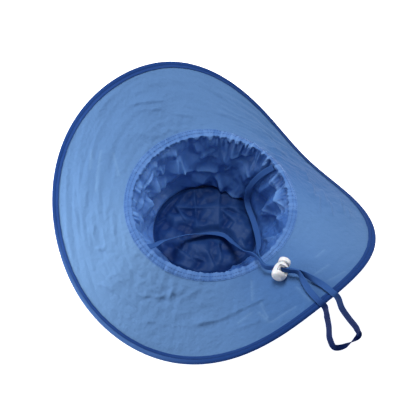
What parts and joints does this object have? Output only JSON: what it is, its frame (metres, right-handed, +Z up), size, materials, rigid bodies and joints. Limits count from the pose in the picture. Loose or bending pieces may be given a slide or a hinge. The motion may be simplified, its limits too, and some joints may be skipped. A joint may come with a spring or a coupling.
{
  "type": "foldable sun hat",
  "caption": "Wide-brimmed cloth sun hat with a sprung brim and a chin strap with cord lock, lying crown down with its head opening up.",
  "frame": {"origin": "on the floor under the middle of the hat without its strap; the round panel of the crown lies on the floor at z = 0", "axes": "+Z up, out of the head opening; X runs through the two sides where the strap is sewn in; -Y is the side with the cord lock"},
  "size_m": [0.3474, 0.4086, 0.1233],
  "materials": {
    "crown_tip_cloth": "thin woven nylon, matte with a faint sheen",
    "crown_wall_cloth": "thin woven nylon, matte with a faint sheen",
    "brim_cloth": "thin woven nylon, matte with a faint sheen",
    "binding_tape": "folded tape, matte",
    "seam_tape": "puckered tape, matte",
    "strap_webbing": "flat woven ribbon, matte",
    "lock_plastic": "moulded white plastic, satin gloss"
  },
  "bodies": {
    "hat": {"crown_tip": "crown_tip_cloth", "crown_wall": "crown_wall_cloth", "brim": "brim_cloth", "brim_binding": "binding_tape", "opening_tape": "seam_tape", "chin_strap": "strap_webbing", "cord_lock_body": "lock_plastic"},
    "lock_button": {"cord_lock_button": "lock_plastic"}
  },
  "joints": [
    {"name": "button_press", "type": "slide", "parent": "hat", "child": "lock_button", "axis": [-0.8519, -0.4919, 0.1797], "range_m": [0, 0.0024], "stiffness_N_per_m": 900, "springref_m": -0.001}
  ]
}
